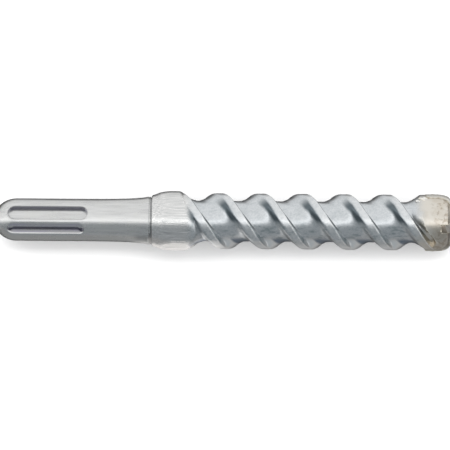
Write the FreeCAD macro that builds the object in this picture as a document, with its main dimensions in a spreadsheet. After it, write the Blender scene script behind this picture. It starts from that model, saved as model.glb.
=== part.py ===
import FreeCAD, Part
import os
import re
import Sketcher

# A masonry drill bit for a rotary hammer, lying along X: the struck end of the shank is at X = 0 and the
# cutting point at X = overall_length. Angles are measured about the X axis, from +Y toward +Z, and the
# whole tool repeats itself after half a turn.

STARTS = 2  # flutes, and copies of every groove
HEAD_STEPS = 3  # sectors in each half of the head

DIMENSIONS = {
    # slotted shank
    "overall_length": 110.0,
    "shank_diameter": 10.0,
    "shank_end_diameter": 5.8,
    "shank_nose_length": 4.5,
    "shank_nose_radius": 5.9,
    "groove_straight_end": 18.9,
    "flare_start": 31.5,
    "flare_end": 35.6,
    "flare_radius": 15.6,
    "flare_diameter": 11.1,
    "joint_position": 35.8,
    "joint_diameter": 10.6,
    # closed groove that the locking balls run in
    "lock_start": 2.45,
    "lock_end": 21.25,
    "lock_width": 3.35,
    "lock_depth": 1.9,
    "lock_taper": 20.0,
    "lock_angle": 69.2,
    # drive groove, with sloping flanks
    "drive_start": 2.36,
    "drive_end": 20.35,
    "drive_width": 2.7,
    "drive_depth": 1.9,
    "drive_taper": 15.0,
    "drive_angle": 117.0,
    # collar
    "collar_diameter": 14.0,
    "collar_foot_diameter": 11.8,
    "collar_foot": 36.0,
    "collar_bevel_end": 38.1,
    "collar_bevel_diameter": 13.5,
    "collar_full": 40.0,
    "collar_full_end": 43.1,
    "shoulder_start": 44.4,
    "shoulder_start_diameter": 12.9,
    "shoulder_end": 46.2,
    "shoulder_end_diameter": 10.4,
    "collar_round": 3.2,
    "shoulder_round": 2.2,
    "root_round": 2.6,
    # spiral ridges between the flutes
    "root_start": 47.2,
    "root_diameter": 9.9,
    "land_diameter": 13.1,
    "lead": 19.6,
    "ridge_position": 43.08,
    "ridge_height": 60.0,
    "land_front": 1.04,
    "land_back": 0.7,
    "wall_foot": 1.45,
    "back_round_start": 1.3,
    "back_round_diameter": 12.6,
    "back_round": 1.4,
    "back_foot": 3.2,
    "ridge_root_depth": 0.35,
    # head
    "head_diameter": 13.1,
    "head_first_angle": -25.0,
    "head_step_angle": 60.0,
    "head_step": 1.5,
    "head_ramp_start": 97.0,
    "head_ramp_round": 3.6,
    "head_start": 99.5,
    "head_taper_start": 103.6,
    "head_taper_end": 106.2,
    "head_taper_end_diameter": 11.0,
    "head_taper_round": 4.4,
    "head_front": 107.7,
    # cutters and the braze round them
    "cutter_angle": 14.0,
    "cutter_diameter": 13.4,
    "cutter_thickness": 3.0,
    "cutter_back": 101.0,
    "cutter_corner": 103.4,
    "cutter_corner_end": 106.6,
    "cutter_corner_end_diameter": 11.7,
    "cutter_corner_round": 6.5,
    "side_angle": 104.0,
    "side_thickness": 1.8,
    "side_inner": 2.4,
    "side_reach": 6.5,
    "side_back": 104.4,
    "side_corner": 105.8,
    "side_front": 108.1,
    "braze_gap": 0.12,
    "braze_reach": 6.1,
    "braze_taper_end": 106.2,
    "braze_taper_reach": 4.5,
    "braze_side_front": 106.9,
    "braze_front": 107.4,
}

doc = FreeCAD.newDocument("masonry_drill_bit")


def make_sheet():
    sheet = doc.addObject("Spreadsheet::Sheet", "dimensions")
    for row, (alias, size) in enumerate(DIMENSIONS.items(), start=1):
        sheet.set(f"A{row}", alias)
        sheet.set(f"B{row}", str(size))
        sheet.setAlias(f"B{row}", alias)
    doc.recompute()
    return sheet


def formula(text):
    """A sheet formula from one written with bare names of driving dimensions."""
    return re.sub(r"[a-z_]{4,}", lambda word: named_cell(word.group()), text)


def named_cell(word):
    return f"dimensions.{word}" if word in DIMENSIONS else word


sheet = make_sheet()


def size_of(text):
    return float(sheet.evalExpression(formula(text)))


def make_body(label):
    body = doc.addObject("PartDesign::Body", label)
    body.Label = label
    return body


def origin_feature(body, role):
    return next(part for part in body.Origin.OriginFeatures if part.Role == role)


def add_sketch(body, name, plane="XY_Plane"):
    sketch = body.newObject("Sketcher::SketchObject", name)
    sketch.AttachmentSupport = (origin_feature(body, plane), [""])
    sketch.MapMode = "FlatFace"
    return sketch


def tilt(sketch, angle, height="0"):
    """Turns a sketch on the XY plane about the X axis and lifts it along its own normal."""
    turn = FreeCAD.Rotation(FreeCAD.Vector(1, 0, 0), size_of(angle))
    sketch.AttachmentOffset = FreeCAD.Placement(FreeCAD.Vector(0, 0, 0), turn)
    sketch.setExpression("AttachmentOffset.Rotation.Angle", formula(f"({angle}) * 1 deg"))
    sketch.setExpression("AttachmentOffset.Base.y", formula(f"-({height}) * sin(({angle}) * 1 deg)"))
    sketch.setExpression("AttachmentOffset.Base.z", formula(f"({height}) * cos(({angle}) * 1 deg)"))


def pin(sketch, edge, end, x, y):
    """Ties one end of an edge to two formulas."""
    for kind, text in (("DistanceX", x), ("DistanceY", y)):
        if size_of(text) == 0:
            axis = -2 if kind == "DistanceX" else -1
            sketch.addConstraint(Sketcher.Constraint("PointOnObject", edge, end, axis))
            continue
        rule = sketch.addConstraint(Sketcher.Constraint(kind, -1, 1, edge, end, size_of(text)))
        sketch.setExpression(f"Constraints[{rule}]", formula(text))


def arc_between(first, last, radius, bulge):
    """The arc of a given radius from one point to the next; bulge is 1 when it lies to the left."""
    chord = last - first
    left = FreeCAD.Vector(-chord.y, chord.x, 0).normalize()
    rise = radius - (radius**2 - (chord.Length / 2) ** 2) ** 0.5
    return Part.Arc(first, (first + last) / 2 + left * rise * bulge, last)


def draw(sketch, corners):
    """Draws a closed outline. A corner is (x, y) or, where an arc leaves it, (x, y, radius, bulge)."""
    points = [FreeCAD.Vector(size_of(corner[0]), size_of(corner[1]), 0) for corner in corners]
    ends = []
    for place, corner in enumerate(corners):
        first = points[place]
        last = points[(place + 1) % len(points)]
        if len(corner) == 2:
            edge = sketch.addGeometry(Part.LineSegment(first, last))
            ends.append((edge, 1, 2))
            continue
        edge = sketch.addGeometry(arc_between(first, last, size_of(corner[2]), corner[3]))
        ends.append((edge, 1, 2) if corner[3] < 0 else (edge, 2, 1))
        rule = sketch.addConstraint(Sketcher.Constraint("Radius", edge, size_of(corner[2])))
        sketch.setExpression(f"Constraints[{rule}]", formula(corner[2]))
    for place, (edge, start, end) in enumerate(ends):
        after, after_start, after_end = ends[(place + 1) % len(ends)]
        sketch.addConstraint(Sketcher.Constraint("Coincident", edge, end, after, after_start))
        pin(sketch, edge, start, *corners[place][:2])


def revolve(body, name, corners):
    """Turns an outline of (along the axis, radius) corners into a solid round the X axis."""
    sketch = add_sketch(body, f"{name}_outline")
    draw(sketch, corners)
    turned = body.newObject("PartDesign::Revolution", name)
    turned.Profile = sketch
    turned.ReferenceAxis = (origin_feature(body, "X_Axis"), [""])
    turned.Angle = 360
    return turned


def repeat(body, feature):
    """Repeats a feature round the X axis, once for each start."""
    ring = body.newObject("PartDesign::PolarPattern", f"{feature.Name}_ring")
    ring.Originals = [feature]
    ring.Axis = (origin_feature(body, "X_Axis"), [""])
    ring.Angle = 360
    ring.Occurrences = STARTS
    body.Tip = ring
    return ring


def draw_slot(sketch, start, end, width):
    """Draws a slot with full-round ends along the sketch's own x axis."""
    half = size_of(f"{width} / 2")
    centres = [FreeCAD.Vector(size_of(start) + half, 0, 0), FreeCAD.Vector(size_of(end) - half, 0, 0)]
    up = FreeCAD.Vector(0, half, 0)
    out = FreeCAD.Vector(half, 0, 0)
    left = sketch.addGeometry(Part.Arc(centres[0] + up, centres[0] - out, centres[0] - up))
    right = sketch.addGeometry(Part.Arc(centres[1] - up, centres[1] + out, centres[1] + up))
    lower = sketch.addGeometry(Part.LineSegment(centres[0] - up, centres[1] - up))
    upper = sketch.addGeometry(Part.LineSegment(centres[1] + up, centres[0] + up))
    for edge, end_point, after, start_point in (
        (left, 2, lower, 1), (lower, 2, right, 1), (right, 2, upper, 1), (upper, 2, left, 1),
    ):
        sketch.addConstraint(Sketcher.Constraint("Tangent", edge, end_point, after, start_point))
    sketch.addConstraint(Sketcher.Constraint("Equal", left, right))
    rule = sketch.addConstraint(Sketcher.Constraint("Radius", left, half))
    sketch.setExpression(f"Constraints[{rule}]", formula(f"{width} / 2"))
    pin(sketch, left, 3, f"{start} + {width} / 2", "0")
    pin(sketch, right, 3, f"{end} - {width} / 2", "0")


def cut_slot(body, name, start, end, width, depth, taper, angle):
    """Sinks a slot into the shank, square to the direction at the given angle."""
    sketch = add_sketch(body, f"{name}_outline")
    draw_slot(sketch, start, end, width)
    tilt(sketch, f"{angle} - 90", "shank_diameter / 2")
    slot = body.newObject("PartDesign::Pocket", name)
    slot.Profile = sketch
    slot.setExpression("Length", formula(depth))
    slot.setExpression("TaperAngle", formula(f"-{taper}"))
    return slot


def make_shank():
    """The cylinder has a seam where the grooves' straight flanks end, so each wall between them is a face."""
    body = make_body("shank")
    revolve(body, "shank_blank", [
        ("0", "0"),
        ("0", "shank_end_diameter / 2", "shank_nose_radius", 1),
        ("shank_nose_length", "shank_diameter / 2"),
        ("groove_straight_end", "shank_diameter / 2"),
        ("flare_start", "shank_diameter / 2", "flare_radius", -1),
        ("flare_end", "flare_diameter / 2"),
        ("joint_position", "joint_diameter / 2"),
        ("joint_position", "0"),
    ])
    doc.recompute()
    for kind in ("lock", "drive"):
        sizes = [f"{kind}_{word}" for word in ("start", "end", "width", "depth", "taper", "angle")]
        slot = cut_slot(body, f"{kind}_slot", *sizes)
        doc.recompute()
        repeat(body, slot)
        doc.recompute()
    for feature in body.Group:
        if hasattr(feature, "Refine"):
            feature.Refine = False
    doc.recompute()


def add_ridge(body):
    """The raised spiral land: a steep wall on the point's side, a soft one on the shank's side."""
    sketch = add_sketch(body, "ridge_outline")
    top = "land_diameter / 2"
    root = "root_diameter / 2"
    draw(sketch, [
        ("ridge_position - back_foot", f"{root} - ridge_root_depth"),
        ("ridge_position - back_foot", root),
        ("ridge_position - back_round_start", "back_round_diameter / 2", "back_round", 1),
        ("ridge_position - land_back", top),
        ("ridge_position + land_front", top),
        ("ridge_position + wall_foot", f"{root}"),
        ("ridge_position + wall_foot", f"{root} - ridge_root_depth"),
    ])
    ridge = body.newObject("PartDesign::AdditiveHelix", "ridge")
    ridge.Profile = sketch
    ridge.ReferenceAxis = (origin_feature(body, "X_Axis"), [""])
    ridge.Mode = "pitch-height-angle"
    ridge.setExpression("Pitch", formula("lead"))
    ridge.setExpression("Height", formula("ridge_height"))
    doc.recompute()
    return repeat(body, ridge)


def add_head_block(body, step):
    """One of the thick sectors that make up the head; the rear of each slopes down into the flute."""
    shift = f"{step} * head_step"
    sketch = add_sketch(body, f"head_outline_{step}")
    root = "root_diameter / 2"
    draw(sketch, [
        (f"head_ramp_start + {shift}", f"{root} - ridge_root_depth"),
        (f"head_ramp_start + {shift}", root, "head_ramp_round", -1),
        (f"head_start + {shift}", "head_diameter / 2"),
        ("head_taper_start", "head_diameter / 2", "head_taper_round", 1),
        ("head_taper_end", "head_taper_end_diameter / 2"),
        ("head_front", "0"),
        (f"head_ramp_start + {shift}", "0"),
    ])
    tilt(sketch, f"head_first_angle + {step} * head_step_angle")
    block = body.newObject("PartDesign::Revolution", f"head_block_{step}")
    block.Profile = sketch
    block.ReferenceAxis = (origin_feature(body, "X_Axis"), [""])
    block.setExpression("Angle", formula("head_step_angle * 1 deg"))
    doc.recompute()
    return repeat(body, block)


def sheet_feature(body, kind, name, corners, angle, thickness):
    """A Pad or a Pocket of an outline in a cutter's own plane, to both sides of that plane."""
    sketch = add_sketch(body, f"{name}_outline")
    draw(sketch, corners)
    tilt(sketch, angle)
    feature = body.newObject(f"PartDesign::{kind}", name)
    feature.Profile = sketch
    feature.Midplane = True
    feature.setExpression("Length", formula(thickness))
    doc.recompute()
    return feature


def slot_outline(back, inner):
    """An open-ended slot: from its floor forward past the point, and outward past the head."""
    return [
        (back, inner),
        ("overall_length + cutter_diameter", inner),
        ("overall_length + cutter_diameter", "cutter_diameter"),
        (back, "cutter_diameter"),
    ]


def make_fluted_body():
    body = make_body("fluted_body")
    revolve(body, "core", [
        ("joint_position", "0"),
        ("joint_position", "joint_diameter / 2"),
        ("collar_foot", "collar_foot_diameter / 2"),
        ("collar_bevel_end", "collar_bevel_diameter / 2", "collar_round", 1),
        ("collar_full", "collar_diameter / 2"),
        ("collar_full_end", "collar_diameter / 2", "shoulder_round", 1),
        ("shoulder_start", "shoulder_start_diameter / 2"),
        ("shoulder_end", "shoulder_end_diameter / 2", "root_round", -1),
        ("root_start", "root_diameter / 2"),
        ("head_taper_start", "root_diameter / 2"),
        ("head_taper_end", "head_taper_end_diameter / 2"),
        ("head_front", "0"),
    ])
    doc.recompute()
    add_ridge(body)
    for step in range(HEAD_STEPS):
        add_head_block(body, step)
    main_floor = slot_outline("cutter_back - braze_gap", "0 - cutter_diameter")
    sheet_feature(body, "Pocket", "main_slot", main_floor, "cutter_angle", "cutter_thickness + 2 * braze_gap")
    side_floor = slot_outline("side_back - braze_gap", "side_inner - braze_gap")
    side = sheet_feature(body, "Pocket", "side_slot", side_floor, "side_angle", "side_thickness + 2 * braze_gap")
    repeat(body, side)
    doc.recompute()


def make_main_cutter():
    edge = "sqrt(cutter_diameter ^ 2 - cutter_thickness ^ 2) / 2"
    corner = "cutter_corner_end_diameter / 2"
    body = make_body("main_cutter")
    sheet_feature(body, "Pad", "main_plate", [
        ("cutter_back", f"-{edge}"),
        ("cutter_corner", f"-{edge}", "cutter_corner_round", -1),
        ("cutter_corner_end", f"-{corner}"),
        ("overall_length", "0"),
        ("cutter_corner_end", corner, "cutter_corner_round", -1),
        ("cutter_corner", edge),
        ("cutter_back", edge),
    ], "cutter_angle", "cutter_thickness")


def make_side_cutter(place, angle):
    body = make_body(f"side_cutter_{place}")
    sheet_feature(body, "Pad", f"side_plate_{place}", [
        ("side_back", "side_inner"),
        ("side_front", "side_inner"),
        ("side_corner", "side_reach"),
        ("side_back", "side_reach"),
    ], angle, "side_thickness")


def make_main_braze():
    reach = "braze_reach"
    taper = "braze_taper_reach"
    body = make_body("main_braze")
    sheet_feature(body, "Pad", "main_braze_film", [
        ("cutter_back - braze_gap", f"-{reach}"),
        ("head_taper_start", f"-{reach}"),
        ("braze_taper_end", f"-{taper}"),
        ("braze_front", "0"),
        ("braze_taper_end", taper),
        ("head_taper_start", reach),
        ("cutter_back - braze_gap", reach),
    ], "cutter_angle", "cutter_thickness + 2 * braze_gap")
    room = slot_outline("cutter_back", "0 - cutter_diameter")
    sheet_feature(body, "Pocket", "main_plate_room", room, "cutter_angle", "cutter_thickness")


def make_side_braze(place, angle):
    body = make_body(f"side_braze_{place}")
    sheet_feature(body, "Pad", f"side_braze_film_{place}", [
        ("side_back - braze_gap", "side_inner - braze_gap"),
        ("braze_side_front", "side_inner - braze_gap"),
        ("braze_taper_end", "braze_taper_reach"),
        ("side_back - braze_gap", "braze_reach"),
    ], angle, "side_thickness + 2 * braze_gap")
    room = slot_outline("side_back", "side_inner")
    sheet_feature(body, "Pocket", f"side_plate_room_{place}", room, angle, "side_thickness")


make_shank()
make_fluted_body()
make_main_cutter()
make_main_braze()
for place, angle in (("front", "side_angle"), ("rear", "side_angle + 180")):
    make_side_cutter(place, angle)
    make_side_braze(place, angle)
doc.recompute()


def check(parts):
    for item in doc.Objects:
        if "Invalid" in item.State or "Error" in item.State:
            raise RuntimeError(f"{item.Label} failed: {item.getStatusString()}")
    for part in parts:
        if part.Shape.isNull() or not part.Shape.isValid():
            raise RuntimeError(f"{part.Label} has no valid shape")
        print(part.Label, round(part.Shape.Volume, 2), part.Shape.BoundBox, len(part.Shape.Solids))


bodies = [item for item in doc.Objects if item.TypeId == "PartDesign::Body"]
check(bodies)
os.makedirs("parts", exist_ok=True)
for body in bodies:
    body.Shape.exportStep(f"parts/{body.Label}.step")
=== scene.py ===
import math

import bmesh
import bpy
import numpy as np
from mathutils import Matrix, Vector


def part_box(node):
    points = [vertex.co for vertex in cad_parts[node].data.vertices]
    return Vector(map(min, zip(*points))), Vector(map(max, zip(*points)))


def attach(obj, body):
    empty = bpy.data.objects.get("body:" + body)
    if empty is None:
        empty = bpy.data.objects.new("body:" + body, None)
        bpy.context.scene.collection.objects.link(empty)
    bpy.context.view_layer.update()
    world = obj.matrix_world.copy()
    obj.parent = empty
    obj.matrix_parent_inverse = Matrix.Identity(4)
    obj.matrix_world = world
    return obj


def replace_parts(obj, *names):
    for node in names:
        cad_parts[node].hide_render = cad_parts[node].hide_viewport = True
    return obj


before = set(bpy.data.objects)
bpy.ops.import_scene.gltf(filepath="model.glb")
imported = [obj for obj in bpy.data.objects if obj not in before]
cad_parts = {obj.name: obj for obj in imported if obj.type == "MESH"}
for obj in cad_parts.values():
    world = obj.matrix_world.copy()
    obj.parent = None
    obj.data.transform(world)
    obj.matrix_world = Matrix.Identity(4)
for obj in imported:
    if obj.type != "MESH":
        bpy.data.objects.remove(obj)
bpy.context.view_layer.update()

# A masonry drill bit lying along X, its struck end at X = 0. Lengths are in millimetres until a mesh is
# made from them, but the finishes, the stage and the camera are in metres. Angles go round the X axis from
# +Y toward +Z, in degrees.
MM = 0.001
SEED = 7

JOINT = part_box("shank")[1][0] / MM
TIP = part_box("main_cutter")[1][0] / MM

SHANK_RADIUS = 5.0
NOSE_END = 4.5
NOSE_ARC = 5.9
# (centre angle, half angle, first end, last end, distance of the flat floor from the axis)
LOCKING_GROOVE = (69.2, 19.6, 2.45, 21.25, 3.15)
DRIVE_GROOVE = (117.0, 15.6, 2.36, 20.35, 3.45)

COLLAR_RADIUS = 7.0
ROOT_RADIUS = 4.95
VALLEY = 4.71
LAND_RADIUS = 6.55
LEAD = 19.6
STARTS = 2
PITCH = LEAD / STARTS
RIDGE_AT = 52.88
SKEW = 0.83  # the rolled flutes sit a little askew to the axis
SKEW_FROM = 41.0
SKEW_SPAN = 4
SHOULDER_LAG = 1.7  # the collar's shoulder starts this much later where it meets the first ridge

HEAD_RADIUS = 6.55
HEAD_CORNER = 100.3
HEAD_RAMP = 3.5
CUTTER_ANGLE = 14.0
CUTTER_RADIUS = 6.7
CUTTER_HALF = 1.5
SIDE_HALF = 0.9
BRAZE_GAP = 0.12


# ---- curves and meshes ------------------------------------------------------------------------------


def curve_through(points):
    """A smooth function through (place, value) points that never overshoots them."""
    place, value = np.array(points, float).T
    step = np.diff(place)
    slope = np.diff(value) / step
    bend = np.zeros(len(place))
    same_way = slope[:-1] * slope[1:] > 0
    weight_left = 2 * step[1:] + step[:-1]
    weight_right = step[1:] + 2 * step[:-1]
    with np.errstate(divide="ignore", invalid="ignore"):
        mean = (weight_left + weight_right) / (weight_left / slope[:-1] + weight_right / slope[1:])
    bend[1:-1] = np.where(same_way, mean, 0)

    def read(x):
        x = np.clip(x, place[0], place[-1])
        i = np.clip(np.searchsorted(place, x) - 1, 0, len(step) - 1)
        t = (x - place[i]) / step[i]
        rise = value[i + 1] - value[i]
        start = bend[i] * step[i]
        end = bend[i + 1] * step[i]
        return value[i] + start * t + (3 * rise - 2 * start - end) * t**2 + (start + end - 2 * rise) * t**3

    return read


def smooth_step(low, high, x):
    t = np.clip((x - low) / (high - low), 0, 1)
    return t * t * (3 - 2 * t)


def soft_max(a, b, softness):
    """The larger of two values, with the corner between them rounded off."""
    overlap = np.clip(softness - np.abs(a - b), 0, None) / softness
    return np.maximum(a, b) + overlap**2 * softness / 4


def spread(stops):
    """Places from (place, spacing) stops: each stretch is divided at its own spacing."""
    places = []
    for (start, spacing), (end, _) in zip(stops, stops[1:]):
        count = max(1, round((end - start) / spacing))
        places.extend(np.linspace(start, end, count, endpoint=False))
    places.append(stops[-1][0])
    return np.array(places)


def polar_points(along, angle, radius):
    turn = np.radians(angle)
    return np.stack([along, radius * np.cos(turn), radius * np.sin(turn)], axis=-1)


def make_piece(name, points, faces, material, slot, sharp=32):
    """A shaded piece on the tool's one body, from points in millimetres."""
    mesh = bpy.data.meshes.new(name)
    mesh.from_pydata([tuple(point) for point in np.asarray(points) * MM], [], faces)
    mesh.validate()
    mesh.update()
    piece = bpy.data.objects.new(name, mesh)
    bpy.context.scene.collection.objects.link(piece)
    finish_piece(piece, material, sharp)
    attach(piece, "root")
    return piece


def finish_piece(piece, material, sharp):
    mesh = piece.data
    mesh.materials.clear()
    mesh.materials.append(material)
    mesh.shade_smooth()
    mesh.set_sharp_from_angle(angle=math.radians(sharp))


def faces_between(rings, around):
    """Faces between rings of points, each of which closes on itself."""
    faces = []
    for ring in range(rings - 1):
        for place in range(around):
            after = (place + 1) % around
            here = ring * around
            faces.append((here + place, here + after, here + around + after, here + around + place))
    return faces


def capped_faces(rings, around):
    """The same, with one flat face over each end."""
    faces = faces_between(rings, around)
    faces.append(tuple(reversed(range(around))))
    last = (rings - 1) * around
    faces.append(tuple(last + place for place in range(around)))
    return faces


def closed_lathe(grid):
    """Points and faces of a grid of rings, with a fan over the first ring and over the last."""
    rings, around = grid.shape[:2]
    points = list(grid.reshape(-1, 3))
    faces = faces_between(rings, around)
    for ring, flip in ((0, False), (rings - 1, True)):
        middle = len(points)
        points.append(grid[ring].mean(axis=0))
        for place in range(around):
            edge = (ring * around + place, ring * around + (place + 1) % around)
            faces.append((middle, *edge) if flip else (middle, *reversed(edge)))
    return points, faces


def join_shapes(shapes):
    """One list of points and one of faces, from the points and faces of several shapes."""
    points = []
    faces = []
    for more_points, more_faces in shapes:
        faces += [tuple(index + len(points) for index in face) for face in more_faces]
        points += more_points
    return points, faces


def face_outward(piece):
    mesh = bmesh.new()
    mesh.from_mesh(piece.data)
    bmesh.ops.recalc_face_normals(mesh, faces=mesh.faces)
    mesh.to_mesh(piece.data)
    mesh.free()


def cut_with(piece, cutters):
    """Cuts other meshes out of a piece and throws them away."""
    for cutter in cutters:
        cut = piece.modifiers.new("cut", "BOOLEAN")
        cut.operation = "DIFFERENCE"
        cut.object = cutter
        cut.solver = "EXACT"
    apply_modifiers(piece)
    for cutter in cutters:
        bpy.data.objects.remove(cutter)


def apply_modifiers(piece):
    bpy.context.view_layer.update()
    shape = piece.evaluated_get(bpy.context.evaluated_depsgraph_get())
    mesh = bpy.data.meshes.new_from_object(shape)
    piece.modifiers.clear()
    piece.data = mesh


# ---- finishes ---------------------------------------------------------------------------------------


class Field:
    """A socket in a material; arithmetic on it adds Math nodes."""

    def __init__(self, maker, socket):
        self.maker = maker
        self.socket = socket

    def maths(self, operation, *others):
        return self.maker.node("Math", {"operation": operation}, self, *others)

    def __add__(self, other):
        return self.maths("ADD", other)

    __radd__ = __add__

    def __mul__(self, other):
        return self.maths("MULTIPLY", other)

    __rmul__ = __mul__

    def __sub__(self, other):
        return self.maths("SUBTRACT", other)

    def __rsub__(self, other):
        return self.maker.node("Math", {"operation": "SUBTRACT"}, other, self)

    def between(self, low, high):
        """0 below low, 1 above high, and a smooth rise between them."""
        settings = {"interpolation_type": "SMOOTHSTEP"}
        return self.maker.node("MapRange", settings, self, low, high, 0.0, 1.0)


class Finish:
    """Builds one material's node tree round its Principled shader."""

    def __init__(self, name):
        self.material = bpy.data.materials.new(name)
        self.material.use_nodes = True
        self.tree = self.material.node_tree
        self.shader = self.tree.nodes["Principled BSDF"]
        self.place = Field(self, self.tree.nodes.new("ShaderNodeTexCoord").outputs["Object"])
        self.along, self.side, self.up = self.split(self.place)

    def node(self, kind, settings, *values, output=0, **named):
        """Adds a node: its settings first, then the values or links of its sockets."""
        made = self.tree.nodes.new(f"ShaderNode{kind}")
        stops = settings.pop("stops", None)
        for setting, value in settings.items():
            setattr(made, setting, value)
        if stops:
            self.set_stops(made.color_ramp, stops)
        sockets = {socket.identifier: socket for socket in made.inputs}
        for socket, value in zip(made.inputs, values):
            self.feed(socket, value)
        for name, value in named.items():
            self.feed(sockets[name], value)
        outputs = {socket.identifier: socket for socket in made.outputs}
        return Field(self, outputs[output] if isinstance(output, str) else made.outputs[output])

    @staticmethod
    def set_stops(ramp, stops):
        while len(ramp.elements) < len(stops):
            ramp.elements.new(1.0)
        for element, (position, colour) in zip(ramp.elements, stops):
            element.position = position
            element.color = (*colour, 1.0)

    def feed(self, socket, value):
        if isinstance(value, Field):
            self.tree.links.new(value.socket, socket)
        elif isinstance(value, tuple) and len(socket.default_value) == 4:
            socket.default_value = (*value, 1.0)
        else:
            socket.default_value = value

    def split(self, vector):
        made = self.tree.nodes.new("ShaderNodeSeparateXYZ")
        self.tree.links.new(vector.socket, made.inputs[0])
        return [Field(self, made.outputs[axis]) for axis in "XYZ"]

    def noise(self, scale, detail=3.0, stretch=(1, 1, 1), roughness=0.5):
        """Noise over the object; scale is in waves per metre, before each axis is stretched."""
        vector = self.node("VectorMath", {"operation": "MULTIPLY"}, self.place, stretch)
        return self.node("TexNoise", {}, Vector=vector, Scale=scale, Detail=detail, Roughness=roughness)

    def mix(self, factor, first, second, blend="MIX"):
        settings = {"data_type": "RGBA", "blend_type": blend}
        return self.node("Mix", settings, Factor_Float=factor, A_Color=first, B_Color=second,
                         output="Result_Color")

    def radius(self):
        return (self.side * self.side + self.up * self.up).maths("SQRT")

    def angle(self):
        """Degrees round the axis, from -180 to 180, where +Y is 0 and +Z is 90."""
        return self.up.maths("ARCTAN2", self.side) * math.degrees(1)

    def ridge_offset(self):
        """Millimetres from the middle of the nearest ridge toward the tip."""
        lean = self.side.maths("DIVIDE", self.radius()) * SKEW
        run = self.along * (1 / MM) + lean - self.angle() * (LEAD / 360) - RIDGE_AT
        return run.maths("WRAP", PITCH / 2, -PITCH / 2)

    def bump(self, height, distance, strength=1.0):
        """distance is the real depth that a height of 1 stands for, in metres."""
        return self.node("Bump", {}, Strength=strength, Distance=distance, Height=height)

    def set(self, **sockets):
        for name, value in sockets.items():
            self.feed(self.shader.inputs[name.replace("_", " ")], value)
        return self.material


def shank_steel():
    """Turned and brushed steel: fine marks along the shank, and painted shade on the walls of the grooves.

    On its -Y side it has darker streaks of painted shade, and the flare there is darker still, as painted
    shade. Inside the drive grooves a darker violet tint is painted as their shade.
    """
    steel = Finish("brushed shank steel")
    marks = steel.noise(5200, 4, stretch=(0.035, 1, 1), roughness=0.6)
    streaks = steel.noise(1300, 3, stretch=(0.09, 1, 1))
    blotches = steel.noise(260, 3)
    radius = steel.radius()
    before_nose = (NOSE_END * MM - steel.along).maths("MAXIMUM", 0.0)
    arc = ((NOSE_ARC * MM) ** 2 - before_nose * before_nose).maths("SQRT")
    depth = arc + (SHANK_RADIUS - NOSE_ARC) * MM - radius
    # the walls of the grooves, which are painted darker as their shade
    wall = depth.between(0.0002, 0.0005) * radius.between(0.0034, 0.0038)
    # a darker violet tint in the drive grooves and on the groove walls, painted as their shade
    drive = (steel.angle() * (1 / 180)).maths("COMPARE", 0.61, 0.045)
    violet_groove_shade = (depth.between(0.0004, 0.0009) * drive).maths("MAXIMUM", wall)
    joint = steel.along.between(0.0356, 0.0358)
    # painted shade: the -Y side is streaked darker where the shade falls
    below = (steel.angle() + blotches * 14).between(134, 150)
    clean = steel.mix(streaks.between(0.3, 0.7), (0.58, 0.585, 0.585), (0.70, 0.705, 0.70))
    aged = steel.mix(blotches.between(0.45, 0.7) * 0.5, clean, (0.66, 0.665, 0.645))
    toned = steel.mix(below * streaks.between(0.3, 0.6) * 0.3, aged, (0.38, 0.42, 0.42))
    tinted = steel.mix(violet_groove_shade * streaks.between(0.35, 0.6) * 0.5, toned, (0.42, 0.40, 0.56))
    # painted shade on the groove walls
    with_painted_shade = steel.mix(wall * 0.6, tinted, (0.14, 0.14, 0.17))
    flare = steel.along.between(0.0315, 0.0335) * steel.angle().between(120, 138)
    shaded = steel.mix(flare * 0.5, with_painted_shade, (0.26, 0.28, 0.29))
    colour = steel.mix(joint * 0.75, shaded, (0.12, 0.125, 0.13))
    height = marks * 0.6 + streaks * 0.4
    return steel.set(
        Base_Color=colour,
        Metallic=1.0,
        Roughness=0.22 + streaks * 0.12,
        Normal=steel.bump(height, 0.000012),
    )


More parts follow.
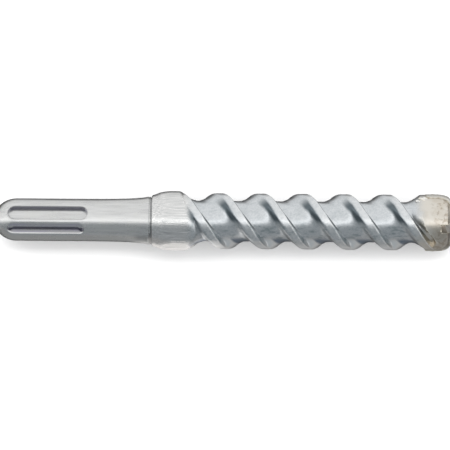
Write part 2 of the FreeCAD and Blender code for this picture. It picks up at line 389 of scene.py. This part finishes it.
def flute_steel():
    """Rolled steel: rubbed bright on each ridge and coloured by heat at the head, with painted shade behind
    each ridge and in the crevice in front of it.

    The masks by angle also tint it darker on the -Y side as painted shade, and paint reflections and
    highlights on some ridges and edges.
    """
    steel = Finish("rolled flute steel")
    grain = steel.noise(2600, 5, roughness=0.6)
    pits = steel.noise(1100, 3)
    clouds = steel.noise(330, 3)
    marks = steel.noise(4200, 3, stretch=(0.05, 1, 1))
    offset = steel.ridge_offset()
    loose = offset + clouds * 0.8 - 0.4
    turn = (steel.angle() + 360).maths("WRAP", 360.0, 0.0)
    # parts of the way round
    low = turn.between(105, 135) * (1 - turn.between(205, 240))
    # the rolled flutes, the turned collar, and all that lies behind the head
    rolled = steel.along.between(0.0440, 0.0462)
    turned = 1 - rolled
    plain = 1 - steel.along.between(0.0985, 0.1000)
    # painted shade: dark strips behind the ridges, on both sides of the tool
    upper = turn.between(24, 52) * (1 - turn.between(84, 102) * 0.7) * (1 - turn.between(150, 170))
    lower = turn.between(204, 232) * (1 - turn.between(264, 282) * 0.7) * (1 - turn.between(325, 345))
    behind = loose.between(-2.95, -2.1) * (1 - loose.between(-1.35, -0.75)) * rolled * plain
    ridge_back_shade = behind * (upper + lower)
    # the roots of the ridges on the -Y side, apart from the ridges themselves, which get dark blue painted
    # shade
    floor_only = 1 - offset.between(-3.4, -2.2) * (1 - offset.between(2.6, 3.4))
    under = turn.between(138, 158) * (1 - turn.between(188, 208))
    root = under * floor_only
    # painted shade in the sharp crevice in front of each ridge, a painted highlight on the ridge's edge,
    # and its rubbed top
    topside = (1 - turn.between(62, 84)) + turn.between(318, 340)
    foot = (1 - turn.between(14, 62)) + turn.between(318, 340)
    crevice = (offset + topside * 0.24).between(1.08, 1.18)
    crevice = crevice * (1 - (offset - foot * 0.2).between(1.42, 1.58))
    crevice = crevice * rolled * (1 - low) * (1 - steel.along.between(0.1020, 0.1026))
    edge = offset.between(0.62, 0.82) * (1 - offset.between(0.98, 1.08)) * rolled * turn.between(75, 100)
    crest = loose.between(-0.8, -0.3) * (1 - loose.between(0.8, 1.0)) * rolled
    # the heated head, and the dark joint ring, widened on the -Y side as painted shade
    heat = (steel.along + clouds * 0.006).between(0.1000, 0.1050)
    beneath = turn.between(118, 136) * (1 - turn.between(225, 240))
    joint = (steel.along + beneath * 0.0005).between(0.0359, 0.0360)
    joint = joint * (1 - steel.along.between(0.03625, 0.0364))
    # colours, each laid over the one before
    floors = steel.mix(grain.between(0.35, 0.65), (0.57, 0.60, 0.62), (0.68, 0.705, 0.72))
    smears = steel.noise(1000, 4, stretch=(0.4, 1, 1), roughness=0.65).between(0.48, 0.66)
    cloudy = steel.mix(clouds.between(0.5, 0.75) * 0.4, floors, (0.50, 0.535, 0.55))
    # smears everywhere, laid on more strongly outside the quarter from +Y to +Z as painted shade
    cloudy = steel.mix(smears * (0.22 + turn.between(92, 104) * 0.55), cloudy, (0.33, 0.385, 0.40))
    rubbed = steel.mix(crest * (0.25 + pits.between(0.35, 0.65) * 0.6), cloudy, (0.75, 0.765, 0.77))
    # painted reflection: near white on the ridges round -Y
    ridge_bottom_reflection = steel.mix(under * (1 - floor_only), rubbed, (0.93, 0.94, 0.94))
    collar = steel.mix(turned, ridge_bottom_reflection, (0.69, 0.695, 0.69))
    dull = steel.mix(turned * (1 - marks.between(0.32, 0.46)) * 0.6, collar, (0.46, 0.475, 0.48))
    scored = steel.mix(turned * marks.between(0.52, 0.7) * 0.75, dull, (0.92, 0.91, 0.90))
    tan = steel.mix(clouds.between(0.4, 0.62), (0.64, 0.595, 0.52), (0.71, 0.68, 0.62))
    # heat brown at the head, with more of it between +Z and -Y as painted shade
    brown = pits.between(0.48, 0.66) + turn.between(94, 108) * (1 - turn.between(150, 170)) * 0.5
    brown = (brown * (steel.along + clouds * 0.003).between(0.1030, 0.1060)).maths("MINIMUM", 1.0)
    burnt = steel.mix(brown * 0.6, tan, (0.33, 0.27, 0.20))
    heated = steel.mix(heat, scored, burnt)
    # painted highlight on the front edges of the ridges, outside the quarter from +Y to +Z
    edge_highlighted = steel.mix(edge * pits.between(0.35, 0.55) * 0.8, heated, (0.97, 0.97, 0.95))
    # millimetres past the slanting rear corner of the head
    block = steel.along * (1 / MM) - turn * 0.08 - 92.2
    # a painted highlight along the lip of the head block's rear corner
    lip = block.between(-0.15, 0.1) * (1 - block.between(0.4, 0.75)) * turn.between(88, 96)
    lip = lip * (1 - turn.between(132, 142)) * (1 - plain) * (0.4 + pits * 0.8)
    lip_highlighted = steel.mix(lip, edge_highlighted, (0.97, 0.93, 0.84))
    # painted shade, dark blue, in the flute floors round -Y
    root_shade = steel.mix(root * rolled * plain * 0.8, lip_highlighted, (0.13, 0.18, 0.26))
    # painted shade behind the ridges
    with_painted_shade = steel.mix(ridge_back_shade, root_shade, (0.12, 0.145, 0.16))
    # painted shade in the crevices, together with the dark joint ring
    dark = (crevice * 0.8).maths("MAXIMUM", joint * 0.55)
    colour = steel.mix(dark, with_painted_shade, (0.10, 0.11, 0.115))
    height = grain * 0.7 + pits * 0.8 + marks * turned * 0.8
    return steel.set(
        Base_Color=colour,
        Metallic=1.0,
        Roughness=0.25 + grain * 0.1 - turned * 0.06,
        Normal=steel.bump(height, 0.000022),
    )


def carbide():
    """Ground hard metal with a fine grain, stained dark on the outer face of each side cutter."""
    metal = Finish("ground hard metal")
    grain = metal.noise(6000, 4, roughness=0.7)
    lines = metal.noise(3800, 2, stretch=(1, 1, 0.08))
    ground = metal.mix(grain.between(0.3, 0.7), (0.62, 0.60, 0.55), (0.74, 0.72, 0.67))
    half_turn = (metal.angle() + 180).maths("WRAP", 180.0, 0.0)
    rim = metal.radius().between(0.0062, 0.0064) * half_turn.between(90, 94)
    rim = rim * (1 - half_turn.between(113, 117))
    shade = metal.mix(rim * (0.6 + metal.noise(700, 3) * 0.4), ground, (0.20, 0.155, 0.11))
    return metal.set(
        Base_Color=shade,
        Metallic=1.0,
        Roughness=0.38 + grain * 0.14,
        Normal=metal.bump(grain * 0.5 + lines * 0.5, 0.00001),
    )


def braze(name, clean, toned):
    """Brazing filler: smooth lumps, with duller patches of burnt flux."""
    filler = Finish(name)
    patches = filler.noise(900, 3)
    grain = filler.noise(4200, 3)
    return filler.set(
        Base_Color=filler.mix(patches.between(0.45, 0.65), clean, toned),
        Metallic=1.0,
        Roughness=0.24 + patches * 0.25,
        Normal=filler.bump(grain + patches, 0.00002),
    )


SHANK_STEEL = shank_steel()
FLUTE_STEEL = flute_steel()
CARBIDE = carbide()
BRAZE = braze("silver braze", (0.95, 0.945, 0.92), (0.76, 0.72, 0.62))
BURNT_BRAZE = braze("burnt braze", (0.66, 0.62, 0.53), (0.42, 0.36, 0.27))


# ---- the shank --------------------------------------------------------------------------------------


FLARE_START = 20
FLARE = curve_through([
    (FLARE_START, SHANK_RADIUS), (26, 5.03), (29, 5.09), (31.5, 5.18), (33.5, 5.33), (34.9, 5.5),
    (35.5, 5.6), (JOINT, 5.45),
])
WALL = 0.16  # how far a groove's walls lean, apart from the lower wall of a drive groove
LOW_WALL = 1.25
EDGE_DROP = 0.07  # how far the metal beside a groove is rounded down
EDGE_WIDTH = 0.3
# degrees between the points round the shank: beside a groove's wall, inside a groove, and elsewhere
WALL_STEP = 0.55
GROOVE_STEP = 1.5
PLAIN_STEP = 2.5
BESIDE = 3  # degrees from a wall that count as beside it


def shank_radius(along):
    arc = NOSE_ARC**2 - np.clip(NOSE_END - along, 0, None) ** 2
    nose = SHANK_RADIUS - NOSE_ARC + np.sqrt(arc)
    return np.where(along < FLARE_START, nose, FLARE(along))


def groove_depth(along, angle, groove, outer, low_wall):
    """The radius left at each point of the shank by one round-ended groove and its opposite."""
    centre, half, start, end, floor = groove
    turn = (angle - centre + 90) % 180 - 90
    across = np.radians(turn) * SHANK_RADIUS
    half_width = math.radians(half) * SHANK_RADIUS
    past_end = np.maximum(np.maximum(start + half_width - along, along - end + half_width), 0)
    outside = np.hypot(past_end, across) - half_width
    bottom = floor / np.cos(np.radians(np.clip(turn, -half - BESIDE, half + BESIDE)))
    left = np.minimum(bottom, outer)
    lower = np.clip(across, 0, None) / (np.hypot(past_end, across) + 1e-6)
    lean = WALL + (low_wall - WALL) * lower**2
    rise = np.clip(1 + outside / lean, 0, 1)
    edge = EDGE_DROP * (1 - smooth_step(0.0, EDGE_WIDTH, outside)) * smooth_step(-WALL, 0.0, outside)
    return left + (outer - left) * rise - edge


def make_shank():
    along = spread([(0.0, 0.12), (0.5, 0.25), (2.2, 0.07), (4.6, 0.45), (18.4, 0.07), (21.6, 0.5),
                    (31.0, 0.3), (35.0, 0.12), (JOINT, 1)])
    angles = [0.0]
    while angles[-1] < 180:
        near = min(
            abs((angles[-1] - centre + 90) % 180 - 90) - half
            for centre, half, *_ in (LOCKING_GROOVE, DRIVE_GROOVE)
        )
        if abs(near) < BESIDE:
            angles.append(angles[-1] + WALL_STEP)
        else:
            angles.append(angles[-1] + (GROOVE_STEP if near < 0 else PLAIN_STEP))
    around = np.array(angles[:-1])
    around = np.concatenate([around, around + 180])
    x, angle = np.meshgrid(along, around, indexing="ij")
    outer = shank_radius(x)
    radius = np.minimum(
        groove_depth(x, angle, LOCKING_GROOVE, outer, WALL),
        groove_depth(x, angle, DRIVE_GROOVE, outer, LOW_WALL),
    )
    rings = [polar_points(x, angle, radius)]
    face = np.array([(0.02, 2.72), (0.0, 2.5), (0.0, 1.6), (0.03, 0.8)])[::-1]
    flat_x, flat_angle = np.meshgrid(face[:, 0], around, indexing="ij")
    flat_radius = np.meshgrid(face[:, 1], around, indexing="ij")[0]
    rings.insert(0, polar_points(flat_x, flat_angle, flat_radius))
    points, faces = closed_lathe(np.concatenate(rings))
    shank = make_piece("shank_body", points, faces, SHANK_STEEL, "shank_steel", sharp=38)
    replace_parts(shank, "shank")


make_shank()


# ---- the fluted body --------------------------------------------------------------------------------


CORE = curve_through([
    (JOINT, 5.6), (35.98, 5.6), (36.1, 5.45), (36.25, 5.45), (36.4, 5.9), (36.6, 6.0), (37.3, 6.25),
    (38.5, 6.7), (39.8, 6.92), (41.0, COLLAR_RADIUS), (43.1, COLLAR_RADIUS), (43.67, 6.87), (44.4, 6.5),
    (45.1, 5.9), (45.8, 5.45), (46.5, 5.15), (47.2, 4.95), (48.0, VALLEY), (TIP, VALLEY),
])
# how much of its height a ridge has, by the distance from its middle toward the tip
RIDGE = curve_through([
    (-4.9, -0.06), (-4.2, -0.05), (-3.3, 0.02), (-2.65, 0.16), (-2.05, 0.44), (-1.5, 0.79), (-1.0, 0.97),
    (-0.6, 1), (0.95, 1), (1.05, 0.93), (1.15, 0.55), (1.27, 0.15), (1.42, 0.04), (2.2, 0),
    (3.8, -0.05), (4.9, -0.06),
])
# the same ridge where it lay at the top and in the bottom of the rolls
RIDGE_ABOVE = curve_through([
    (-4.9, -0.15), (-4.2, -0.1), (-3.4, 0.06), (-2.6, 0.27), (-1.9, 0.56), (-1.35, 0.85), (-0.9, 0.975),
    (-0.6, 1), (0.95, 1), (1.05, 0.93), (1.15, 0.55), (1.27, 0.15), (1.42, 0.03), (2.4, 0),
    (3.8, -0.12), (4.9, -0.15),
])
RIDGE_BELOW = curve_through([
    (-4.9, -0.15), (-3.8, -0.13), (-2.7, 0.08), (-1.8, 0.55), (-1.2, 0.93), (-0.7, 1), (0.8, 1),
    (1.4, 0.86), (2.1, 0.5), (2.9, 0.18), (3.8, -0.05), (4.9, -0.15),
])
# the head block's rear corner and the length of the slope up to it, by the angle past each cutter
CORNER = curve_through([
    (0, HEAD_CORNER), (60, 100.25), (90, 100.25), (104, 100.6), (129, 102.4), (140, 102.7), (150, 102.3),
    (160, 101.2), (170, 100.4), (180, HEAD_CORNER),
])
SLOPE = curve_through([
    (0, HEAD_RAMP), (75, HEAD_RAMP), (90, 2.4), (104, 1.1), (129, 0.9), (150, 0.9), (165, 2.5),
    (180, HEAD_RAMP),
])
NOSE_FROM = 95  # behind this place the nose sets no limit to the radius
NOSE = curve_through([
    (NOSE_FROM, HEAD_RADIUS), (103.6, HEAD_RADIUS), (104.6, 6.44), (105.5, 6.1), (106.1, 5.65),
    (106.3, 5.3), (106.6, 4.2), (107.6, 0.45), (107.65, 0.3),
])
NOSE_FRONT = 107.6
HEAD_SWELL = 1.45  # above 1, the slope up to the head starts gently
SOFT_CORNER = 0.12
RIDGE_START = 42
RIDGE_FULL = 44
CLEAR = 9  # a radius outside the whole tool
CLEAR_FRONT = 112


def along_true_helix(along, angle):
    """Where a point of the askew flutes would lie along the tool if they were true."""
    return along + SKEW * np.cos(np.radians(angle)) * smooth_step(SKEW_FROM, SKEW_FROM + SKEW_SPAN, along)


def body_radius(along, angle):
    """The body's radius in millimetres, from arrays of places along it and angles round it."""
    askew = along_true_helix(along, angle)
    turn = angle % 360
    shoulder = SHOULDER_LAG * smooth_step(20, 100, turn) * (1 - smooth_step(125, 175, turn))
    core = CORE(askew - shoulder * smooth_step(SKEW_FROM, SKEW_FROM + 2, along))
    offset = (askew - RIDGE_AT - LEAD * angle / 360 + PITCH / 2) % PITCH - PITCH / 2
    below = smooth_step(148, 172, turn) * (1 - smooth_step(205, 230, turn))
    above = 1 - smooth_step(12, 42, turn) + smooth_step(318, 348, turn)
    height = RIDGE(offset) * (1 - below - above)
    height = height + RIDGE_BELOW(offset) * below + RIDGE_ABOVE(offset) * above
    started = smooth_step(RIDGE_START, RIDGE_FULL, along)
    ridge = VALLEY + (ROOT_RADIUS - VALLEY + (LAND_RADIUS - ROOT_RADIUS) * height) * started
    past = angle % 180
    rise = np.clip((askew - CORNER(past)) / SLOPE(past) + 1, 0, 1)
    head = VALLEY + (HEAD_RADIUS - VALLEY) * rise**HEAD_SWELL
    steel = soft_max(soft_max(core, ridge, SOFT_CORNER), head, SOFT_CORNER)
    return np.minimum(steel, np.where(along > NOSE_FROM, NOSE(along), CLEAR))


SETTLING_ROUNDS = 25  # each brings the angle of a point on the askew ridges nearer to its real one


def make_body():
    along = spread([(JOINT, 0.05), (36.6, 0.2), (98.0, 0.12), (106.0, 0.06), (NOSE_FRONT, 1)])
    offsets = spread([(-4.9, 0.4), (-3.3, 0.22), (-0.6, 0.3), (0.8, 0.07), (1.5, 0.3), (4.9, 1)])[:-1]
    offsets = np.concatenate([offsets, offsets + PITCH])[::-1]
    x, offset = np.meshgrid(along, offsets, indexing="ij")
    angle = np.zeros_like(x)
    for _ in range(SETTLING_ROUNDS):
        angle = (along_true_helix(x, angle) - RIDGE_AT - offset) * 360 / LEAD
    points, faces = closed_lathe(polar_points(x, angle, body_radius(x, angle)))
    body = make_piece("fluted_steel_body", points, faces, FLUTE_STEEL, "flute_steel", sharp=40)
    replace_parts(body, "fluted_body")
    return body


BODY = make_body()


# ---- the cutters, their slots and the braze ---------------------------------------------------------


ROOF = 0.577  # the cutting edges meet in a blunt 120 degree point
RELIEF = 0.36
MAIN_BACK = 101.0
MAIN_CORNER = 103.4
MAIN_TAPER = 103.8
MAIN_CORNER_END = 106.6
SIDE_BACK = 104.4
SIDE_INNER = 2.4
SIDE_OUTER = 6.5
SIDE_TOP = 109.42
SIDE_ROOF = 0.561
MAIN_SIDE = curve_through([
    (90, CUTTER_RADIUS), (MAIN_CORNER, CUTTER_RADIUS), (104.6, 6.62), (105.6, 6.38),
    (MAIN_CORNER_END, 5.9), (108.0, 4.9),
])


def place_plate(along, out, across, angle):
    """Turns a plate's own lengths (along X, out from the axis, across its thickness) into a point."""
    turn = math.radians(angle)
    return (
        along,
        out * math.cos(turn) - across * math.sin(turn),
        out * math.sin(turn) + across * math.cos(turn),
    )


CORNER_ROUNDS = 20  # each brings the meeting of the cutter's side and its roof nearer


def main_outline(across):
    """The main cutter's outline at one place in its thickness, as (along, out) corners."""
    reach = MAIN_CORNER_END
    for _ in range(CORNER_ROUNDS):
        side = math.sqrt(float(MAIN_SIDE(reach)) ** 2 - across**2)
        reach = TIP - abs(ROOF * side - RELIEF * across)
    heights = np.concatenate([np.linspace(MAIN_BACK, MAIN_CORNER, 4), np.linspace(MAIN_TAPER, reach, 8)])
    edge = [(x, math.sqrt(float(MAIN_SIDE(x)) ** 2 - across**2)) for x in heights]
    out = np.linspace(edge[-1][1], RELIEF * across / ROOF, 7)[1:]
    return edge + [(TIP - abs(ROOF * r - RELIEF * across), r) for r in out]


def make_plate(name, slot_angle, half_thickness, outline):
    """A cutter from the outlines at several places in its thickness, with small bevels."""
    places = np.linspace(-half_thickness, half_thickness, 7)
    loops = [[place_plate(x, r, v, slot_angle) for x, r in outline(v)] for v in places]
    points = [point for loop in loops for point in loop]
    faces = capped_faces(len(loops), len(loops[0]))
    plate = make_piece(name, points, faces, CARBIDE, "carbide", sharp=25)
    face_outward(plate)
    bevel = plate.modifiers.new("ground edges", "BEVEL")
    bevel.width = 0.12 * MM
    bevel.segments = 2
    bevel.angle_limit = math.radians(35)
    apply_modifiers(plate)
    finish_piece(plate, CARBIDE, 25)
    return plate


def main_loop(across):
    """One whole turn round the main cutter: up one side, over the point and down the other."""
    near = main_outline(across)
    far = [(x, -r) for x, r in main_outline(-across)]
    return near + far[::-1][1:]


def side_loop(across):
    out = [SIDE_INNER + 0.4 * k for k in range(11)]
    out[-1] = math.sqrt(SIDE_OUTER**2 - across**2)
    roof = [(SIDE_TOP - SIDE_ROOF * r + RELIEF * (across - SIDE_HALF), r) for r in reversed(out)]
    heights = np.linspace(SIDE_BACK, roof[0][0], 5)[:-1]
    return [(x, out[-1]) for x in heights] + roof + [(SIDE_BACK, SIDE_INNER)]


def box_between(name, angle, back, front, inner, outer, half_width):
    """A plain box lying along X, used only to cut a slot."""
    corners = [
        place_plate(x, r, v, angle)
        for x in (back, front) for r in (inner, outer) for v in (-half_width, half_width)
    ]
    mesh = bpy.data.meshes.new(name)
    sides = [(0, 1, 3, 2), (4, 6, 7, 5), (0, 4, 5, 1), (2, 3, 7, 6), (0, 2, 6, 4), (1, 5, 7, 3)]
    mesh.from_pydata([tuple(MM * value for value in corner) for corner in corners], [], sides)
    box = bpy.data.objects.new(name, mesh)
    bpy.context.scene.collection.objects.link(box)
    return box


def bead(path, radii, sides=8):
    """Points and faces of a closed tube along a path, with its own radius at each point."""
    path = np.array(path)
    points = []
    for i, (centre, radius) in enumerate(zip(path, radii)):
        ahead = path[min(i + 1, len(path) - 1)] - path[max(i - 1, 0)]
        ahead = ahead / np.linalg.norm(ahead)
        first = np.cross(ahead, (0.3, 0.5, 0.81))
        first = first / np.linalg.norm(first)
        second = np.cross(ahead, first)
        for k in range(sides):
            turn = 2 * math.pi * k / sides
            points.append(centre + radius * (math.cos(turn) * first + math.sin(turn) * second))
    return points, capped_faces(len(path), sides)


SEAM_TURN = 106.1  # past here the seam runs over the nose and needs closer points
SEAM = BRAZE_GAP * 0.6  # from a cutter's face to the middle of the bead beside it
BEAD_RADIUS = 0.15
BEAD_WAVES = ((0.55, 0.05), (1.15, 0.03), (2.3, 0.015))  # how fast each comes round, and its height
BEAD_END = 0.6


def seam_path(angle, across, back, inner):
    """Follows the seam beside a plate, from its back along the head and over the nose toward the axis."""
    path = []
    for x in np.concatenate([np.arange(back, SEAM_TURN, 0.22), np.arange(SEAM_TURN, NOSE_FRONT, 0.06)]):
        reach = min(float(NOSE(x)), HEAD_RADIUS)
        if reach**2 - across**2 > inner**2:
            path.append(place_plate(x, math.sqrt(reach**2 - across**2), across, angle))
    return path


def make_braze_beads():
    """Uneven beads of filler along every seam between a cutter and the steel."""
    seams = []
    for half_turn in (0, 180):
        for side in (-1, 1):
            main = side * (CUTTER_HALF + SEAM)
            small = side * (SIDE_HALF + SEAM)
            seams.append(seam_path(CUTTER_ANGLE + half_turn, main, MAIN_BACK, 0.9))
            seams.append(seam_path(CUTTER_ANGLE + 90 + half_turn, small, SIDE_BACK, 2.5))
        backs = ((CUTTER_ANGLE, MAIN_BACK, CUTTER_HALF), (CUTTER_ANGLE + 90, SIDE_BACK, SIDE_HALF))
        for angle, back, half in backs:
            reach = np.linspace(-half, half, 9)
            seams.append([
                place_plate(back - BRAZE_GAP / 2, math.sqrt(HEAD_RADIUS**2 - v**2), v, angle + half_turn)
                for v in reach
            ])
    beads = []
    for seam in seams:
        radii = np.full(len(seam), BEAD_RADIUS)
        for (rate, height), start in zip(BEAD_WAVES, RANDOM.uniform(0, 2 * math.pi, len(BEAD_WAVES))):
            radii += height * np.sin(np.arange(len(seam)) * rate + start)
        radii[0] *= BEAD_END
        radii[-1] *= BEAD_END
        beads.append(bead(seam, radii))
    make_piece("braze_beads", *join_shapes(beads), BURNT_BRAZE, "braze", sharp=60)


LUMP_RINGS = 9
LUMP_SIDES = 14
LUMP_SUNK = 0.22  # how much of its size a drop is sunk into the steel
# (place along the tool, angle, size) of each drop behind one end of the main cutter
DROPS = [
    (98.9, 33, 0.46), (99.5, 28, 0.36), (100.0, 31, 0.5), (100.6, 27, 0.42), (99.3, 37, 0.3),
    (100.4, 35, 0.34), (101.0, 29.5, 0.30),
]


def lump(centre, outward, size):
    """Points and faces of one uneven drop, flattened against the steel."""
    waves = RANDOM.uniform(0, 2 * math.pi, 4)
    sideways = np.cross(outward, (1, 0, 0))
    grid = []
    for ring in range(1, LUMP_RINGS):
        tilt = math.pi * ring / LUMP_RINGS
        for k in range(LUMP_SIDES):
            spin = 2 * math.pi * k / LUMP_SIDES
            rough = 1 + 0.14 * math.sin(2 * spin + waves[0]) * math.sin(tilt)
            rough += 0.10 * math.sin(3 * spin + waves[1] + 2 * tilt)
            rough += 0.06 * math.sin(5 * spin + waves[2])
            ahead, beside, out = np.array([
                math.sin(tilt) * math.cos(spin) * 1.15,
                math.sin(tilt) * math.sin(spin) * 0.95,
                math.cos(tilt) * 0.62,
            ]) * size * rough
            grid.append(centre + ahead * np.array([1, 0, 0]) + beside * sideways + out * outward)
    grid = np.array(grid).reshape(LUMP_RINGS - 1, LUMP_SIDES, 3)
    return closed_lathe(grid[::-1])


def make_braze_lumps():
    """Drops of filler that ran out behind the main cutter's corners and froze."""
    lumps = []
    for half_turn in (0, 180):
        for along, angle, size in DROPS:
            turn = np.radians(angle + half_turn)
            reach = float(body_radius(np.array(along), np.array((angle + half_turn) % 360)))
            outward = np.array([0, math.cos(turn), math.sin(turn)])
            centre = np.array([along, 0, 0]) + outward * (reach - LUMP_SUNK * size)
            lumps.append(lump(centre, outward, size))
    piece = make_piece("braze_lumps", *join_shapes(lumps), BRAZE, "braze", sharp=60)
    face_outward(piece)
    finish_piece(piece, BRAZE, 60)


RANDOM = np.random.default_rng(SEED)

SIDE_ANGLES = (CUTTER_ANGLE + 90, CUTTER_ANGLE + 270)
SLOTS = [
    box_between("main_slot", CUTTER_ANGLE, MAIN_BACK - BRAZE_GAP, CLEAR_FRONT, -CLEAR, CLEAR,
                CUTTER_HALF + BRAZE_GAP),
]
for angle in SIDE_ANGLES:
    SLOTS.append(box_between("side_slot", angle, SIDE_BACK - BRAZE_GAP, CLEAR_FRONT, SIDE_INNER - BRAZE_GAP,
                             CLEAR, SIDE_HALF + BRAZE_GAP))
cut_with(BODY, SLOTS)
finish_piece(BODY, FLUTE_STEEL, 40)

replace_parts(make_plate("main_cutting_plate", CUTTER_ANGLE, CUTTER_HALF, main_loop), "main_cutter")
SIDE_NODES = sorted(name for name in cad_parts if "side" in name and "braze" not in name)
for name, angle in zip(SIDE_NODES, SIDE_ANGLES):
    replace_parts(make_plate(f"{name}_plate", angle, SIDE_HALF, side_loop), name)
make_braze_beads()
make_braze_lumps()
for name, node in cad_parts.items():
    if "braze" in name:
        node.data.materials.clear()
        node.data.materials.append(BURNT_BRAZE)


# ---- stage, light and camera ------------------------------------------------------------------------


TABLE_HALF = 1.5
FRAME_WIDTH = 0.1062
LENS = 400
SENSOR = 36
VIEW_MIDDLE = (0.0536, -0.00092)
VIEW_ROLL = 0.44
LAMP_PLACE = (0.05, 0.32, 0.8)
LAMP_TILT = -22


def make_table(name, height, material):
    half = TABLE_HALF
    corners = [(-half, -half, 0), (half, -half, 0), (half, half, 0), (-half, half, 0)]
    mesh = bpy.data.meshes.new(name)
    mesh.from_pydata(corners, [], [(0, 1, 2, 3)])
    mesh.materials.append(material)
    table = bpy.data.objects.new(name, mesh)
    table.location.z = height
    bpy.context.scene.collection.objects.link(table)
    return table


def make_floor():
    """The table, and its image in the metal: dim beside the tool as painted shadow, pale under the collar.
    """
    stone = Finish("pale table")
    clouds = stone.noise(14, 3)
    stone.set(Base_Color=stone.mix(clouds, (0.93, 0.93, 0.93), (0.95, 0.95, 0.95)), Roughness=0.7)
    floor = make_table("floor", -COLLAR_RADIUS * MM, stone.material)
    floor.visible_glossy = False

    shade = Finish("table in the metal")
    # the table as the metal mirrors it: painted dim on the -Y side and darkest beside the tool as its
    # shadow
    greys = [
        (0.0, 0.36), (0.39, 0.38), (0.43, 0.14), (0.50, 0.06), (0.57, 0.05), (0.60, 0.25), (0.64, 0.9),
        (1.0, 1.0),
    ]
    stops = [(position, (grey,) * 3) for position, grey in greys]
    near = shade.node("MapRange", {}, shade.side, -0.06, 0.06, 0.0, 1.0)
    tone = shade.node("ValToRGB", {"stops": stops}, near)
    # a pale painted reflection under the collar
    pale_patch = shade.along.between(0.0305, 0.0340) * (1 - shade.along.between(0.0475, 0.0560))
    pale_patch = pale_patch * (1 - shade.side.between(-0.0085, -0.0075))
    glow = shade.mix(pale_patch, tone, (1.0, 0.97, 0.95))
    shade.set(
        Base_Color=(0.0, 0.0, 0.0),
        Emission_Color=glow,
        Emission_Strength=1.0,
        Specular_IOR_Level=0.0,
    )
    image = make_table("table_in_metal", -COLLAR_RADIUS * MM - 0.0001, shade.material)
    image.visible_camera = False
    image.visible_diffuse = False
    image.visible_shadow = False


def make_sky():
    """An even pale sky, except that the metal mirrors another.

    That one is plain on the +Y side, dim on the other, and has a bright strip overhead.
    """
    world = bpy.data.worlds.new("studio")
    world.use_nodes = True
    bpy.context.scene.world = world
    tree = world.node_tree
    place = tree.nodes.new("ShaderNodeTexCoord")
    parts = tree.nodes.new("ShaderNodeSeparateXYZ")
    ramp = tree.nodes.new("ShaderNodeValToRGB")
    span = tree.nodes.new("ShaderNodeMapRange")
    span.inputs["From Min"].default_value = -1
    tree.links.new(place.outputs["Generated"], parts.inputs[0])
    tree.links.new(parts.outputs["Y"], span.inputs["Value"])
    tree.links.new(span.outputs[0], ramp.inputs[0])
    rays = tree.nodes.new("ShaderNodeLightPath")
    choice = tree.nodes.new("ShaderNodeMix")
    choice.data_type = "RGBA"
    into = {socket.identifier: socket for socket in choice.inputs}
    chosen = {socket.identifier: socket for socket in choice.outputs}["Result_Color"]
    fill = tree.nodes.new("ShaderNodeValToRGB")
    Finish.set_stops(fill.color_ramp, [(0.0, (1.12,) * 3), (0.5, (1.12,) * 3), (1.0, (1.0,) * 3)])
    tree.links.new(span.outputs[0], fill.inputs[0])
    tree.links.new(rays.outputs["Is Glossy Ray"], into["Factor_Float"])
    tree.links.new(fill.outputs[0], into["A_Color"])
    tree.links.new(ramp.outputs[0], into["B_Color"])
    tree.links.new(chosen, tree.nodes["Background"].inputs["Color"])
    tree.nodes["Background"].inputs["Strength"].default_value = 1.0
    tones = [
        (-1, (0.33, 0.35, 0.365)), (-0.42, (0.31, 0.335, 0.35)), (-0.24, (0.42, 0.44, 0.455)),
        (-0.11, (1.35,) * 3), (-0.02, (1.75,) * 3), (0.06, (1.55,) * 3), (0.17, (1.02,) * 3),
        (1, (1.0,) * 3),
    ]
    Finish.set_stops(ramp.color_ramp, [((side + 1) / 2, tone) for side, tone in tones])


def make_lamp():
    """Lights the floor from above; it isn't seen in the metal."""
    light = bpy.data.lights.new("overhead", "AREA")
    light.shape = "RECTANGLE"
    light.size = 1.3
    light.size_y = 0.3
    light.energy = 4.9
    lamp = bpy.data.objects.new("overhead", light)
    lamp.location = LAMP_PLACE
    lamp.rotation_euler = (math.radians(LAMP_TILT), 0, 0)
    lamp.visible_glossy = False
    bpy.context.scene.collection.objects.link(lamp)


def make_camera():
    view = bpy.data.cameras.new("camera")
    view.lens = LENS
    view.sensor_width = SENSOR
    camera = bpy.data.objects.new("camera", view)
    camera.location = (*VIEW_MIDDLE, FRAME_WIDTH * LENS / SENSOR)
    camera.rotation_euler.z = math.radians(VIEW_ROLL)
    bpy.context.scene.collection.objects.link(camera)
    bpy.context.scene.camera = camera


make_floor()
make_sky()
make_lamp()
make_camera()
bpy.context.scene.view_settings.view_transform = "Standard"
